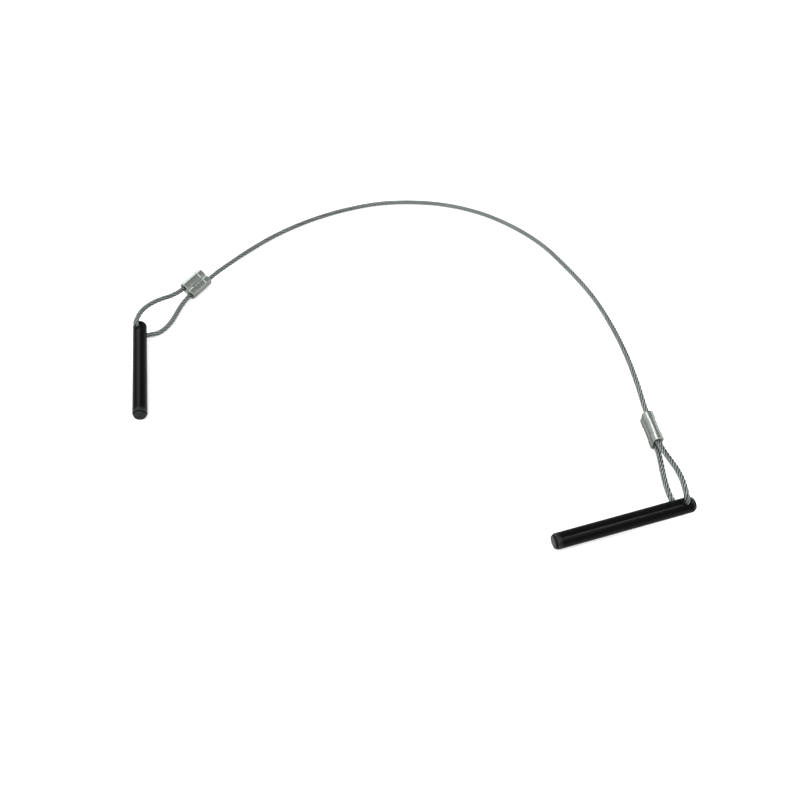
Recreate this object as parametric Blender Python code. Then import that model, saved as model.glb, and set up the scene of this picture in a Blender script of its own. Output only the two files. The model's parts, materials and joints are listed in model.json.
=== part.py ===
"""Wire-rope lanyard that ties two plain pins together.

One stranded rope is turned back into an eye at each end. Each eye runs through a cross-hole near
one end of a black pin, and a pressed double-barrel ferrule closes it. The lanyard lies on a flat
surface at Z = 0, with its free rope in one open arc. Metres, +Z up, +X to the right pin.
"""

import math

import bmesh
import bpy
import numpy as np
from mathutils import Euler, Vector

MM = 0.001

# Pins: plain round bar, chamfered at both ends, with a cross-hole near one end.
PIN_DIAMETER = 8.5 * MM
PIN_LENGTH = 77.0 * MM
PIN_CHAMFER_DEPTH = 0.9 * MM
PIN_CHAMFER_LENGTH = 1.7 * MM
CROSS_HOLE_SETBACK = 5.0 * MM
CROSS_HOLE_CLEARANCE = 0.5 * MM

# Rope: outside diameter of the strands.
ROPE_DIAMETER = 3.2 * MM
ROPE_FREE_STEP = 10.5 * MM
ROPE_EYE_STEP = 6.6 * MM
STRETCH_GAP = 0.3 * MM
SHORTEST_STEP = 0.1 * MM

# Ferrules: two bores side by side, collars at both ends and a middle pressed flatter between them.
FERRULE_LENGTH = 18.3 * MM
FERRULE_WALL = 1.2 * MM
BORE_SPACING = 6.3 * MM
BORE_CLEARANCE = 0.3 * MM
COLLAR_LENGTH = 4.2 * MM
COLLAR_EDGE = 0.5 * MM
PRESS_DEPTH = 0.3 * MM
PRESS_RAMP = 0.7 * MM
SIDE_ROUNDING = 2.4 * MM
GROOVE_WIDTH = 2.2 * MM
COLLAR_GROOVE_DEPTH = 0.5 * MM
PRESSED_GROOVE_DEPTH = 0.7 * MM
DEAD_END_SETBACK = 0.5 * MM

# How far the rope runs straight out of a pin's side before it bends.
HOLE_LEAD = 0.8 * MM

# Fineness of the round shapes, and the angle from which an edge counts as sharp.
PIN_SIDES = 32
BORE_SIDES = 16
ROPE_SIDES_RESOLUTION = 2
FERRULE_SIDE_STEPS = 12
FERRULE_GROOVE_STEPS = 6
ROUTE_POINTS_PER_SPAN = 40
SHARP_ANGLE = math.radians(35.0)

# Layout: plan distance from the left cross-hole to the right one. The places and routes below are
# drawn for 310 by 137.4 mm; another distance moves the two ends and stretches the arc between them.
HOLE_SPAN_X = 310.0 * MM
HOLE_SPAN_Y = -137.4 * MM

# Places on the surface: plan position of each cross-hole as drawn, and how each pin lies.
# Turn is measured from +X, dip lowers the tip, lean rolls the cross-hole away from upright.
LEFT_HOLE = (-155.5 * MM, 48.1 * MM)
LEFT_PIN_TURN = math.radians(-78.1)
LEFT_PIN_LEAN = math.radians(17.0)
RIGHT_HOLE = (154.5 * MM, -89.3 * MM)
RIGHT_PIN_TURN = math.radians(195.4)
RIGHT_PIN_LEAN = math.radians(-8.0)
PIN_DIP = math.radians(3.6)

# Plan position of each ferrule's middle. It points from its eye to the free rope.
# Rise lifts the free-rope end, and roll stands the ferrule on its edge.
LEFT_FERRULE_AT = (-129.6 * MM, 98.9 * MM)
LEFT_FERRULE_TURN = math.radians(58.7)
LEFT_FERRULE_RISE = math.radians(3.0)
LEFT_FERRULE_ROLL = math.radians(39.3)
RIGHT_FERRULE_AT = (149.5 * MM, -36.2 * MM)
RIGHT_FERRULE_TURN = math.radians(101.2)
RIGHT_FERRULE_RISE = math.radians(12.5)
RIGHT_FERRULE_ROLL = math.radians(-99.0)

# Side of each pin's hole that the leg from the cut end goes in by: 1 is above and -1 is below.
LEFT_ENTRY_SIDE = 1.0
RIGHT_ENTRY_SIDE = -1.0

# Route of the rope's centre line in millimetres, stretch by stretch, chosen by hand. A dead leg
# runs from the barrel with the cut end to the pin, and a live leg from the pin to the other barrel.
LEFT_DEAD_LEG = (
    (-142.0, 83.0, 8.6),
    (-147.8, 76.1, 10.8),
    (-152.7, 67.2, 13.4),
    (-155.3, 58.0, 15.4),
    (-156.0, 51.4, 16.0),
)
LEFT_LIVE_LEG = (
    (-150.2, 51.6, 1.9),
    (-146.2, 53.5, 1.65),
    (-142.9, 57.9, 1.65),
    (-140.4, 64.0, 1.65),
    (-138.8, 71.3, 1.7),
    (-136.6, 80.8, 2.1),
)
FREE_ARC = (
    (-118.0, 114.0, 4.1),
    (-111.0, 125.5, 3.3),
    (-101.4, 141.1, 1.9),
    (-81.4, 164.0, 1.65),
    (-58.3, 182.6, 1.65),
    (-32.9, 196.7, 1.65),
    (-5.9, 205.6, 1.65),
    (12.7, 207.3, 1.65),
    (40.5, 204.3, 1.65),
    (67.1, 193.8, 1.65),
    (91.0, 175.8, 1.65),
    (111.1, 151.8, 1.65),
    (126.1, 122.3, 1.9),
    (137.2, 89.1, 4.2),
    (142.4, 51.2, 10.0),
    (144.5, 15.6, 15.2),
    (145.5, -8.8, 16.2),
)
RIGHT_DEAD_LEG = (
    (151.8, -52.2, 2.1),
    (151.3, -62.1, 1.75),
    (151.1, -72.0, 1.7),
    (151.7, -79.4, 1.75),
)
RIGHT_LIVE_LEG = (
    (153.4, -88.0, 17.6),
    (153.4, -81.1, 18.0),
    (153.5, -72.8, 16.0),
    (153.1, -64.8, 13.3),
    (152.2, -56.6, 10.9),
)


def clear_scene():
    """Start from an empty scene."""
    for item in list(bpy.data.objects):
        bpy.data.objects.remove(item, do_unlink=True)


def make_material(name, colour, metallic, roughness):
    """A Principled finish with one colour, metallic value and roughness."""
    material = bpy.data.materials.new(name)
    material.use_nodes = True
    shader = material.node_tree.nodes["Principled BSDF"]
    shader.inputs["Base Color"].default_value = (*colour, 1.0)
    shader.inputs["Metallic"].default_value = metallic
    shader.inputs["Roughness"].default_value = roughness
    material.diffuse_color = (*colour, 1.0)
    return material


def new_object(name, data, material=None):
    """Put mesh or curve data into the scene under the sub-part's name."""
    item = bpy.data.objects.new(name, data)
    bpy.context.scene.collection.objects.link(item)
    if material is not None:
        data.materials.append(material)
    return item


def loft(name, rings):
    """Closed mesh through equal rings of points, with a flat cap at both ends."""
    shape = bmesh.new()
    rows = [[shape.verts.new(point) for point in ring] for ring in rings]
    for row, following in zip(rows, rows[1:]):
        for i in range(len(row)):
            j = (i + 1) % len(row)
            shape.faces.new((row[i], row[j], following[j], following[i]))
    shape.faces.new(rows[0])
    shape.faces.new(rows[-1])
    bmesh.ops.recalc_face_normals(shape, faces=shape.faces)
    mesh = bpy.data.meshes.new(name)
    shape.to_mesh(mesh)
    shape.free()
    mesh.shade_smooth()
    mesh.set_sharp_from_angle(angle=SHARP_ANGLE)
    return mesh


def circle_ring(x, radius, sides):
    """Points of a circle square to X."""
    turns = [2.0 * math.pi * i / sides for i in range(sides)]
    return [(x, radius * math.cos(turn), radius * math.sin(turn)) for turn in turns]


def cut(target, cutter, name):
    """Take a hidden cutter out of a piece."""
    cutter.hide_render = True
    cutter.display_type = "WIRE"
    cutter.parent = target
    modifier = target.modifiers.new(name, "BOOLEAN")
    modifier.operation = "DIFFERENCE"
    modifier.solver = "EXACT"
    modifier.object = cutter


def cylinder(name, radius, length, sides):
    """Cylinder along X, centred on its own origin."""
    ends = (-0.5 * length, 0.5 * length)
    return new_object(name, loft(name, [circle_ring(x, radius, sides) for x in ends]))


def moved(place, share):
    """A drawn place in plan, moved by its share of the change in the holes' distance.

    The share is 0 for what stays with the left hole and 1 for what stays with the right one.
    """
    extra_x = HOLE_SPAN_X - (RIGHT_HOLE[0] - LEFT_HOLE[0])
    extra_y = HOLE_SPAN_Y - (RIGHT_HOLE[1] - LEFT_HOLE[1])
    return (place[0] + (share - 0.5) * extra_x, place[1] + (share - 0.5) * extra_y)


def eye_leg(leg, share):
    """A drawn leg of an eye in metres, moved with its pin."""
    return [(*moved((x * MM, y * MM), share), z * MM) for x, y, z in leg]


def free_arc():
    """The drawn arc in metres, each point moved by how far across it lies."""
    width = RIGHT_HOLE[0] - LEFT_HOLE[0]
    return [(*moved((x * MM, y * MM), (x * MM - LEFT_HOLE[0]) / width), z * MM) for x, y, z in FREE_ARC]


def make_pin(name, hole, turn, lean, material):
    """Pin with its origin in the cross-hole: X runs to the tip and Z runs along the hole."""
    radius = 0.5 * PIN_DIAMETER
    near_end = -CROSS_HOLE_SETBACK
    tip = near_end + PIN_LENGTH
    face_radius = radius - PIN_CHAMFER_DEPTH
    rings = [
        circle_ring(near_end, face_radius, PIN_SIDES),
        circle_ring(near_end + PIN_CHAMFER_LENGTH, radius, PIN_SIDES),
        circle_ring(tip - PIN_CHAMFER_LENGTH, radius, PIN_SIDES),
        circle_ring(tip, face_radius, PIN_SIDES),
    ]
    pin = new_object(name, loft(name, rings), material)
    height = radius * math.cos(PIN_DIP) + (tip - PIN_CHAMFER_LENGTH) * math.sin(PIN_DIP)
    pin.location = (hole[0], hole[1], height)
    pin.rotation_euler = (lean, PIN_DIP, turn)
    hole_radius = 0.5 * ROPE_DIAMETER + CROSS_HOLE_CLEARANCE
    cutter = cylinder(name + "_hole", hole_radius, 2.0 * PIN_DIAMETER, BORE_SIDES)
    cutter.rotation_euler = (0.0, 0.5 * math.pi, 0.0)
    cut(pin, cutter, "cross_hole")
    return pin


def sleeve_ring(x, half_width, half_height, groove_depth):
    """Outline of the ferrule's section: flat faces with a groove along each, and rounded sides."""
    flat = half_width - SIDE_ROUNDING
    ring = []
    for side in (1.0, -1.0):
        for i in range(FERRULE_SIDE_STEPS + 1):
            turn = math.pi * (0.5 - i / FERRULE_SIDE_STEPS)
            y = flat + SIDE_ROUNDING * math.cos(turn)
            ring.append((x, side * y, side * half_height * math.sin(turn)))
        for i in range(FERRULE_GROOVE_STEPS + 1):
            across = 1.0 - 2.0 * i / FERRULE_GROOVE_STEPS
            dip = groove_depth * math.cos(0.5 * math.pi * across) ** 2
            ring.append((x, side * across * 0.5 * GROOVE_WIDTH, -side * (half_height - dip)))
    return ring


def make_ferrule(name, place, turn, rise, roll, material):
    """Pressed double-barrel ferrule: X runs to the free rope, and -Y is the barrel it leaves by."""
    collar = 0.5 * ROPE_DIAMETER + BORE_CLEARANCE + FERRULE_WALL
    wide = 0.5 * BORE_SPACING + collar
    end = 0.5 * FERRULE_LENGTH
    stations = [
        (end, wide - COLLAR_EDGE, collar - COLLAR_EDGE, COLLAR_GROOVE_DEPTH),
        (end - COLLAR_EDGE, wide, collar, COLLAR_GROOVE_DEPTH),
        (end - COLLAR_LENGTH, wide, collar, COLLAR_GROOVE_DEPTH),
        (end - COLLAR_LENGTH - PRESS_RAMP, wide, collar - PRESS_DEPTH, PRESSED_GROOVE_DEPTH),
    ]
    stations += [(-x, *section) for x, *section in reversed(stations)]
    ferrule = new_object(name, loft(name, [sleeve_ring(*station) for station in stations]), material)
    ferrule.rotation_euler = (roll, -rise, turn)
    ferrule.location = (place[0], place[1], 0.0)
    rotation = ferrule.rotation_euler.to_matrix()
    lowest = min((rotation @ vertex.co).z for vertex in ferrule.data.vertices)
    ferrule.location.z = -lowest
    bore_radius = 0.5 * ROPE_DIAMETER + BORE_CLEARANCE
    for side, label in ((-1.0, "live"), (1.0, "dead")):
        cutter = cylinder(name + "_bore_" + label, bore_radius, 2.0 * FERRULE_LENGTH, BORE_SIDES)
        cutter.location = (0.0, 0.5 * side * BORE_SPACING, 0.0)
        cut(ferrule, cutter, label + "_bore")
    return ferrule


def placed(item, point):
    """A point of a piece's own frame, as a place in the world."""
    rotation = Euler(item.rotation_euler).to_matrix()
    return np.array(Vector(item.location) + rotation @ Vector(point))


def bore_point(ferrule, along, barrel):
    """Place in a ferrule's bore: along X from the middle, in the live or the dead barrel."""
    side = {"live": -0.5, "dead": 0.5}[barrel]
    return placed(ferrule, (along, side * BORE_SPACING, 0.0))


def hole_point(pin, side):
    """Place where the rope meets the pin's cross-hole, above it for 1 or below it for -1."""
    reach = 0.5 * PIN_DIAMETER + HOLE_LEAD
    return placed(pin, (0.0, 0.0, side * reach))


def smooth_leg(start, leg, end, start_way, end_way, step):
    """Points every step on a cubic curve through the leg that leaves and arrives straight."""
    points = np.array([start, *leg, end])
    spans = np.linalg.norm(np.diff(points, axis=0), axis=1)
    slopes = np.diff(points, axis=0) / spans[:, None]
    shares = (spans[:-1] / (spans[:-1] + spans[1:]))[:, None]
    inner = slopes[:-1] * (1.0 - shares) + slopes[1:] * shares
    ways = np.vstack([start_way, inner, end_way])
    dense = []
    for i, span in enumerate(spans):
        t = np.linspace(0.0, 1.0, ROUTE_POINTS_PER_SPAN, endpoint=False)[:, None]
        dense.append(
            (1 + 2 * t) * (1 - t) ** 2 * points[i]
            + t * (1 - t) ** 2 * span * ways[i]
            + t * t * (3 - 2 * t) * points[i + 1]
            - t * t * (1 - t) * span * ways[i + 1]
        )
    dense = np.vstack([*dense, points[-1:]])
    run = np.concatenate([[0.0], np.cumsum(np.linalg.norm(np.diff(dense, axis=0), axis=1))])
    marks = np.linspace(0.0, run[-1], max(2, round(run[-1] / step)) + 1)
    return np.column_stack([np.interp(marks, run, dense[:, axis]) for axis in range(3)])


def unit(vector):
    """The vector's direction."""
    return vector / np.linalg.norm(vector)


def make_rope(name, stretches, material):
    """Round tube along the stretches, with filled ends."""
    points = np.vstack(stretches)
    keep = np.concatenate([[True], np.linalg.norm(np.diff(points, axis=0), axis=1) > SHORTEST_STEP])
    points = points[keep]
    curve = bpy.data.curves.new(name, "CURVE")
    curve.dimensions = "3D"
    curve.bevel_depth = 0.5 * ROPE_DIAMETER
    curve.bevel_resolution = ROPE_SIDES_RESOLUTION
    curve.use_fill_caps = True
    spline = curve.splines.new("POLY")
    spline.points.add(len(points) - 1)
    for target, point in zip(spline.points, points):
        target.co = (*point, 1.0)
    return new_object(name, curve, material)


def eye_stretches(ferrule, pin, entry_side, dead_leg, live_leg):
    """Centre line of one eye, from its cut end to the middle of the live barrel.

    The dead leg runs from the dead barrel to the entry side of the pin's hole, and the live leg
    from the hole's other side to the live barrel.
    """
    end = 0.5 * FERRULE_LENGTH
    cut_end = bore_point(ferrule, end - DEAD_END_SETBACK, "dead")
    dead_mouth = bore_point(ferrule, -end, "dead")
    live_mouth = bore_point(ferrule, -end, "live")
    live_middle = bore_point(ferrule, -0.5 * STRETCH_GAP, "live")
    entry = hole_point(pin, entry_side)
    exit_point = hole_point(pin, -entry_side)
    out_of_ferrule = unit(dead_mouth - cut_end)
    through_hole = unit(exit_point - entry)
    return [
        cut_end[None, :],
        smooth_leg(dead_mouth, dead_leg, entry, out_of_ferrule, through_hole, ROPE_EYE_STEP),
        smooth_leg(exit_point, live_leg, live_mouth, through_hole, -out_of_ferrule, ROPE_EYE_STEP),
        live_middle[None, :],
    ]


def free_stretches(start_ferrule, end_ferrule):
    """Centre line of the free rope, from the middle of one live barrel to the other's."""
    end = 0.5 * FERRULE_LENGTH
    start_middle = bore_point(start_ferrule, 0.5 * STRETCH_GAP, "live")
    start_mouth = bore_point(start_ferrule, end, "live")
    end_mouth = bore_point(end_ferrule, end, "live")
    end_middle = bore_point(end_ferrule, 0.5 * STRETCH_GAP, "live")
    leaves = unit(start_mouth - start_middle)
    arrives = unit(end_middle - end_mouth)
    return [
        start_middle[None, :],
        smooth_leg(start_mouth, free_arc(), end_mouth, leaves, arrives, ROPE_FREE_STEP),
        end_middle[None, :],
    ]


def build():
    """Make every piece of the lanyard."""
    clear_scene()
    black = make_material("black_pin_finish", (0.012, 0.013, 0.014), 0.3, 0.38)
    steel = make_material("steel_rope", (0.42, 0.44, 0.43), 1.0, 0.42)
    aluminium = make_material("ferrule_aluminium", (0.62, 0.65, 0.63), 1.0, 0.34)
    left, right = 0.0, 1.0
    left_pin = make_pin("left_pin", moved(LEFT_HOLE, left), LEFT_PIN_TURN, LEFT_PIN_LEAN, black)
    right_pin = make_pin("right_pin", moved(RIGHT_HOLE, right), RIGHT_PIN_TURN, RIGHT_PIN_LEAN, black)
    left_place = moved(LEFT_FERRULE_AT, left)
    left_lie = (LEFT_FERRULE_TURN, LEFT_FERRULE_RISE, LEFT_FERRULE_ROLL)
    left_ferrule = make_ferrule("left_ferrule", left_place, *left_lie, aluminium)
    right_place = moved(RIGHT_FERRULE_AT, right)
    right_lie = (RIGHT_FERRULE_TURN, RIGHT_FERRULE_RISE, RIGHT_FERRULE_ROLL)
    right_ferrule = make_ferrule("right_ferrule", right_place, *right_lie, aluminium)
    left_legs = (eye_leg(LEFT_DEAD_LEG, left), eye_leg(LEFT_LIVE_LEG, left))
    left_eye = eye_stretches(left_ferrule, left_pin, LEFT_ENTRY_SIDE, *left_legs)
    make_rope("left_eye_loop", left_eye, steel)
    right_legs = (eye_leg(RIGHT_DEAD_LEG, right), eye_leg(RIGHT_LIVE_LEG, right))
    right_eye = eye_stretches(right_ferrule, right_pin, RIGHT_ENTRY_SIDE, *right_legs)
    make_rope("right_eye_loop", right_eye, steel)
    make_rope("lanyard_rope", free_stretches(left_ferrule, right_ferrule), steel)


build()
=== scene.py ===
"""Looks of a wire-rope lanyard with a black pin on the eye at each end.

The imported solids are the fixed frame. The stranded rope, the pressed ferrules and the pins are
worked out as surfaces and stand in the places of those solids.
"""

import json
import math

import bmesh
import bpy
import numpy as np
from bpy.props import FloatProperty, FloatVectorProperty, IntProperty, PointerProperty
from mathutils import Euler, Matrix, Vector


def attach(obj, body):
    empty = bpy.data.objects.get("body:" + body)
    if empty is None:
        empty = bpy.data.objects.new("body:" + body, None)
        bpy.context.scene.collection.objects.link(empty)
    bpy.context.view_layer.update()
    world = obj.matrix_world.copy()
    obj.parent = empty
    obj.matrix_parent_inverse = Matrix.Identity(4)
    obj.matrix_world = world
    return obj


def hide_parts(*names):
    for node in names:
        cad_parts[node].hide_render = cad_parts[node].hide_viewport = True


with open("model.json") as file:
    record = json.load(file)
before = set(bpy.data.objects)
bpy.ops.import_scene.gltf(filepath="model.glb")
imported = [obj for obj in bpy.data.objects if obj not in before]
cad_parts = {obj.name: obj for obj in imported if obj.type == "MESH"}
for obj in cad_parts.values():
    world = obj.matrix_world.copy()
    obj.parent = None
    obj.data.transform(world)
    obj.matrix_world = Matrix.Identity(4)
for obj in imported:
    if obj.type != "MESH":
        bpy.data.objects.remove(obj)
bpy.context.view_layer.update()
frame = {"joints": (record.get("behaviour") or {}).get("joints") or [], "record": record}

bl_info = {
    "name": "Wire Rope Pin Lanyard",
    "version": (1, 0, 0),
    "blender": (4, 5, 0),
    "location": "View3D > Sidebar > Lanyard",
    "description": "Builds the looks of a stranded wire-rope lanyard with pressed ferrules and pins",
    "category": "Object",
}

MM = 0.001

# Rope's route: straight run outside a pin's hole, depth of a cut end inside a ferrule, points worked
# out along each span, step and reach of the last smoothing, and shortest step that is kept.
HOLE_LEAD = 0.8 * MM
CUT_END_SETBACK = 0.5 * MM
SPAN_POINTS = 40
SMOOTHING_STEP = 0.25 * MM
SMOOTHING_REACH = 8
SHORTEST_STEP = 0.0001 * MM

# Rope mesh: places of a strand's points as shares of one wire's angle, least reach of its outline in
# wire radii, sides and ring step of the core that shows between the strands, and how far apart the
# strands' grain is taken.
WIRE_SHARES = np.array([-0.5, -0.2, 0.2])
LEAST_STRAND_REACH = 2.15
CORE_SIDES = 8
CORE_RING_STEP = 2
STRAND_OFFSET = 7.0 * MM

# A direction that no stretch of the rope runs along, to start its frame from.
SLANTED_WAY = np.array([0.5, 0.3, 0.81])

# Pin mesh: steps over the cross-hole's patch and beside it, half size of the patch, longest step along
# the shank, softening of the turned edges and its points, radius of the flat middle of an end face,
# rings from the patch to the hole's lip, over the lip and down the bore, and how far out the bore's
# rings begin as a share of the lip's height.
PIN_STEPS = 16
PATCH_HALF_LENGTH = 2.9 * MM
PATCH_HALF_WIDTH = 2.65 * MM
SHANK_STEP = 2.5 * MM
EDGE_SOFTENING = 0.22 * MM
BEND_POINTS = 6
END_CAP_RADIUS = 0.25 * MM
PATCH_RINGS = 5
LIP_RINGS = 6
BORE_RINGS = 4
BORE_RING_SHARE = 0.6

# Ferrule mesh: points round one side and across one groove of its section, rows along its end
# rounding, collar, ramp and pressed middle, and rounding, rows and wall points of a bore's mouth.
SIDE_POINTS = 33
GROOVE_POINTS = 17
EDGE_ROWS = 7
COLLAR_ROWS = 8
RAMP_ROWS = 8
MIDDLE_ROWS = 14
MOUTH_ROUNDING = 0.35 * MM
MOUTH_ROWS = 6
WALL_POINTS = 7

# Wear: distances over which worn edges fade, and how deep and how strong it is on a pin's end face.
FERRULE_WEAR_REACH = 0.35 * MM
PIN_WEAR_REACH = 0.3 * MM
END_FACE_BAND = 0.02 * MM
END_FACE_WEAR = 0.4

# Finishes: a range is the stretch of grain, or of crown height, over which a value changes. A tone,
# roughness or strength is the value at its two ends. A glance is the colour of light seen at a low
# angle, and a relief is the height of the fine lines.
GRAIN_RANGE = (0.3, 0.7)
# Crown heights over which the painted shade between the strands gives way to the wires' colour.
ROPE_CROWN_RANGE = (0.66, 0.93)
ROPE_TONE = (0.72, 1.12)
ROPE_ROUGHNESS = (0.36, 0.52)
ROPE_GLANCE = (0.4, 0.42, 0.41, 1.0)
ROPE_RELIEF = 0.03 * MM
SCUFF_RANGE = (0.47, 0.68)
SCUFF_STRENGTH = (0.0, 0.55)
FERRULE_ROUGHNESS = (0.22, 0.3)
FERRULE_GLANCE = (0.45, 0.48, 0.45, 1.0)
FERRULE_RELIEF = 0.03 * MM
WORN_BRIGHTNESS = 1.08
BLACK_RANGE = (0.35, 0.65)
DEEP_BLACK_SHARE = 0.7
PIN_ROUGHNESS = (0.16, 0.28)
PIN_RELIEF = 0.02 * MM
WHITE = (1.0, 1.0, 1.0, 1.0)

# Mask of worn edges: slope and shift of the noise that breaks it up.
WEAR_SLOPE = 1.6
WEAR_SHIFT = -0.1

# Places of the colour sockets on a Mix node: two inputs and the result.
MIX_LOW = 6
MIX_HIGH = 7
MIX_RESULT = 2

# Angles in degrees from which an edge is shaded sharp: on most pieces, and on a pin.
SHARP = 40
PIN_SHARP = 35

# Points closer than this are one point. The floor lies this far below the lanyard.
WELD = 0.002 * MM
FLOOR_GAP = 0.02 * MM

# Camera: place and aim in metres, width of its sensor in millimetres and nearest distance seen.
CAMERA_PLACE = (0.0088, -0.33575, 0.34037)
CAMERA_AIM = (0.0088, -0.0053, 0.0)
SENSOR_WIDTH = 36.0
CLIP_START = 10.0 * MM

# Area lights: name, place, aim, size in metres and power in watts.
LIGHTS = (
    ("strip_light", (0.295, -0.172, 0.48), (0.261, -0.057, 0.0), (0.17, 0.04), 0.7),
    ("back_light", (-0.6, 1.1, 0.85), (-0.1, 0.08, 0.0), (0.85, 1.1), 12.0),
    ("high_light", (-0.55, 0.17, 1.42), (0.1, 0.0, 0.0), (0.3, 0.8), 5.0),
    ("front_light", (-0.35, -1.3, 1.6), (0.0, 0.02, 0.0), (3.2, 2.2), 46.0),
    ("left_light", (-1.4, -0.1, 0.6), (0.0, 0.0, 0.0), (1.4, 1.0), 5.0),
    ("right_light", (1.4, 0.62, 0.64), (0.0, 0.05, 0.0), (1.2, 1.0), 6.2),
)

# Places of the ferrules: middle in metres, then turn, rise and roll in degrees.
LEFT_FERRULE = ((-0.1296, 0.0989, 0.005722), (58.7, 3.0, 39.3))
RIGHT_FERRULE = ((0.1495, -0.0362, 0.007942), (101.2, 12.5, -99.0))

# Side of each pin's hole that the leg from the cut end goes in by: 1 is above and -1 is below.
LEFT_ENTRY_SIDE = 1
RIGHT_ENTRY_SIDE = -1

# Route of the rope's centre line in metres, leg by leg, as in the solid part. A dead leg runs from
# the barrel with the cut end to the pin, and a live leg from the pin to the other barrel.
LEFT_DEAD_LEG = (
    (-0.142, 0.083, 0.0086),
    (-0.1478, 0.0761, 0.0108),
    (-0.1527, 0.0672, 0.0134),
    (-0.1553, 0.058, 0.0154),
    (-0.156, 0.0514, 0.016),
)
LEFT_LIVE_LEG = (
    (-0.1502, 0.0516, 0.0019),
    (-0.1462, 0.0535, 0.00165),
    (-0.1429, 0.0579, 0.00165),
    (-0.1404, 0.064, 0.00165),
    (-0.1388, 0.0713, 0.0017),
    (-0.1366, 0.0808, 0.0021),
)
FREE_ARC = (
    (-0.118, 0.114, 0.0041),
    (-0.111, 0.1255, 0.0033),
    (-0.1014, 0.1411, 0.0019),
    (-0.0814, 0.164, 0.00165),
    (-0.0583, 0.1826, 0.00165),
    (-0.0329, 0.1967, 0.00165),
    (-0.0059, 0.2056, 0.00165),
    (0.0127, 0.2073, 0.00165),
    (0.0405, 0.2043, 0.00165),
    (0.0671, 0.1938, 0.00165),
    (0.091, 0.1758, 0.00165),
    (0.1111, 0.1518, 0.00165),
    (0.1261, 0.1223, 0.0019),
    (0.1372, 0.0891, 0.0042),
    (0.1424, 0.0512, 0.01),
    (0.1445, 0.0156, 0.0152),
    (0.1455, -0.0088, 0.0162),
)
RIGHT_DEAD_LEG = (
    (0.1518, -0.0522, 0.0021),
    (0.1513, -0.0621, 0.00175),
    (0.1511, -0.072, 0.0017),
    (0.1517, -0.0794, 0.00175),
)
RIGHT_LIVE_LEG = (
    (0.1534, -0.088, 0.0176),
    (0.1534, -0.0811, 0.018),
    (0.1535, -0.0728, 0.016),
    (0.1531, -0.0648, 0.0133),
    (0.1522, -0.0566, 0.0109),
)


def length_property(name, description, millimetres):
    """A length in metres with its default given in millimetres."""
    return FloatProperty(
        name=name,
        description=description,
        default=millimetres * MM,
        min=0.0,
        precision=5,
        subtype="DISTANCE",
        unit="LENGTH",
    )


def colour_property(name, description, colour):
    """A linear colour."""
    return FloatVectorProperty(
        name=name, description=description, default=colour, size=3, min=0.0, max=1.0, subtype="COLOR"
    )


class LanyardRopeSettings(bpy.types.PropertyGroup):
    """Sizes and colours of the stranded rope."""

    diameter: length_property("Diameter", "Outside diameter over the strands", 3.2)
    lay: length_property("Lay", "Length of one turn of a strand round the rope", 19.0)
    wire_lay: length_property("Wire Lay", "Length of one turn of a wire round its strand", 9.0)
    spacing: length_property("Ring Spacing", "Distance between rings of points along the rope", 1.06)
    strands: IntProperty(name="Strands", description="Outer strands round the core", default=6, min=3)
    wires: IntProperty(name="Wires", description="Outer wires in a strand", default=6, min=3)
    colour: colour_property("Steel", "Colour of the wires", (0.325, 0.352, 0.34))
    # Painted shade: the wires' colour is darkened towards this deep between the strands, on the inner side
    # of each strand.
    groove: colour_property("Groove", "Colour deep between the strands", (0.03, 0.033, 0.032))


class LanyardFerruleSettings(bpy.types.PropertyGroup):
    """Sizes and colours of the pressed double-barrel ferrules."""

    length: length_property("Length", "Length along the rope", 18.3)
    barrel: length_property("Collar Radius", "Outside radius of a barrel at its collars", 3.1)
    pressed: length_property("Pressed Height", "Half thickness of a barrel where it is pressed", 2.8)
    bore_spacing: length_property("Bore Spacing", "Distance between the middles of the bores", 6.3)
    bore: length_property("Bore Radius", "Radius of a bore round the rope", 1.68)
    collar: length_property("Collar Length", "Length of the raised collar at each end", 4.2)
    ramp: length_property("Press Ramp", "Length of the step from collar to pressed middle", 0.7)
    edge: length_property("Edge Radius", "Rounding of the outer edges", 0.5)
    rounding: length_property("Side Rounding", "Depth of the rounded sides", 2.4)
    groove_width: length_property("Groove Width", "Width of the groove along each face", 2.2)
    collar_groove: length_property("Collar Groove", "Depth of the groove in the collars", 0.5)
    pressed_groove: length_property("Pressed Groove", "Depth of the groove in the pressed middle", 0.7)
    colour: colour_property("Aluminium", "Colour of the ferrule", (0.245, 0.265, 0.25))
    scuff: colour_property("Scuff", "Colour of scuffed places", (0.18, 0.195, 0.18))


class LanyardPinSettings(bpy.types.PropertyGroup):
    """Sizes and colours of the cross-drilled pins."""

    diameter: length_property("Diameter", "Diameter of the shank", 8.5)
    length: length_property("Length", "Length over both ends", 77.0)
    setback: length_property("Hole Setback", "From the near end to the middle of the cross-hole", 5.0)
    hole: length_property("Hole Radius", "Radius of the cross-hole", 2.1)
    lip: length_property("Hole Lip", "Rounding of the cross-hole's edge", 0.3)
    chamfer_depth: length_property("Chamfer Depth", "Chamfer measured across the pin", 0.9)
    chamfer_length: length_property("Chamfer Length", "Chamfer measured along the pin", 1.7)
    colour: colour_property("Black", "Colour of the black finish", (0.0016, 0.0018, 0.0019))
    worn: colour_property("Worn Edge", "Colour of worn edges and end faces", (0.045, 0.047, 0.046))


class LanyardStageSettings(bpy.types.PropertyGroup):
    """Floor, light and camera round the lanyard."""

    floor: colour_property("Floor", "Colour of the pale floor", (0.92, 0.92, 0.92))
    mirrored: colour_property("Mirrored Floor", "Floor as the metal mirrors it", (0.7, 0.7, 0.7))
    floor_size: length_property("Floor Size", "Side of the floor", 6000.0)
    focal: FloatProperty(name="Lens", description="Focal length in millimetres", default=36.0, min=1.0)
    ambient: FloatProperty(name="Ambient", description="Light from all round", default=0.64, min=0.0)
    glow: FloatProperty(name="Glow", description="Light from within the floor", default=0.25, min=0.0)


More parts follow.
